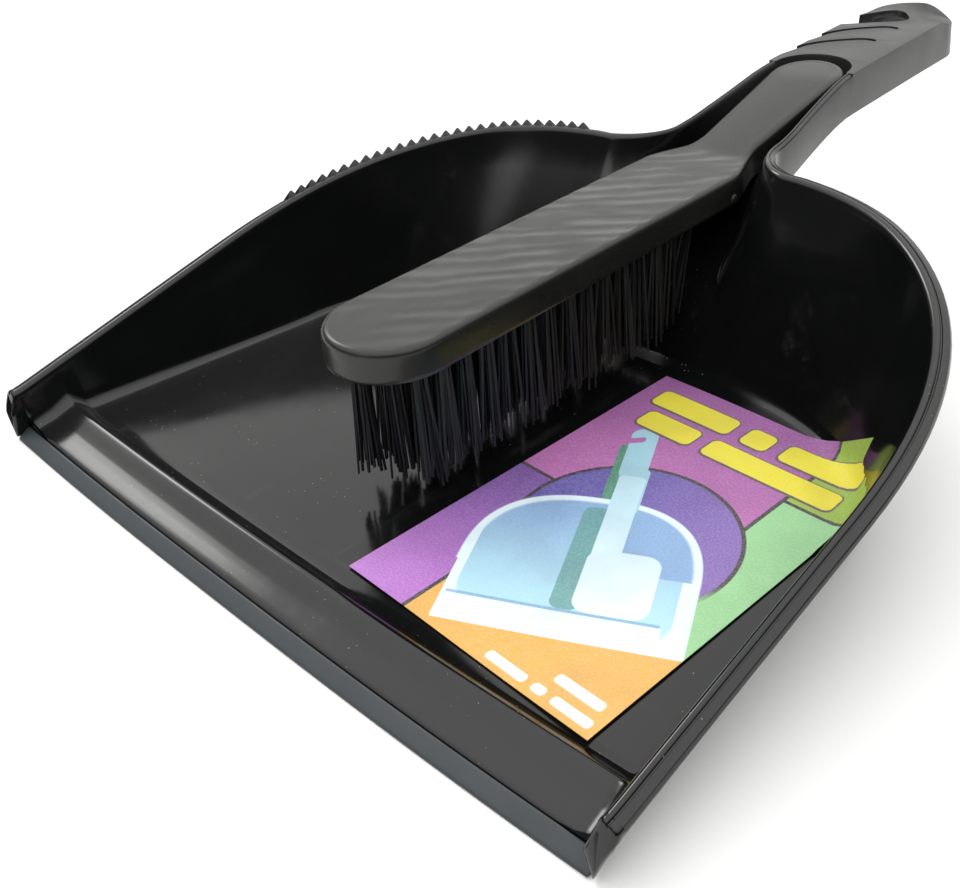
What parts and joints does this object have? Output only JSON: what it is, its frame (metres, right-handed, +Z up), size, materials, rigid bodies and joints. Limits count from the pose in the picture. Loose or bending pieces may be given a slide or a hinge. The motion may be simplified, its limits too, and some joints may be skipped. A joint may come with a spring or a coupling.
{
  "type": "dust pan and brush set",
  "caption": "Dust pan with flared walls, ridged front, soft lip and channel handle; a hand brush with tufted bristles rests in the handle; paper label on the floor.",
  "frame": {"origin": "middle of the footprint, on the surface the pan stands on", "axes": "+X across the pan to the right seen from the front lip, +Y from the lip towards the end of the handle, +Z up"},
  "size_m": [0.226, 0.3278, 0.0714],
  "materials": {
    "pan_plastic": "glossy moulded black",
    "lip_rubber": "satin slate",
    "label_paper": "printed",
    "brush_plastic": "satin moulded black",
    "bristle": "semi-gloss filament",
    "anchor_wire": "bright wire"
  },
  "bodies": {
    "pan": {"dust_pan": "pan_plastic", "rubber_lip": "lip_rubber", "label": "label_paper"},
    "brush": {"brush_body": "brush_plastic", "tufts_row_1": "bristle", "tufts_row_2": "bristle", "tufts_row_3": "bristle", "tufts_row_4": "bristle", "anchors_row_1": "anchor_wire", "anchors_row_2": "anchor_wire", "anchors_row_3": "anchor_wire", "anchors_row_4": "anchor_wire"}
  },
  "joints": [
    {"name": "brush_lift", "type": "slide", "parent": "pan", "child": "brush", "axis": [0, 0, 1], "range_m": [0, 0.09]}
  ]
}
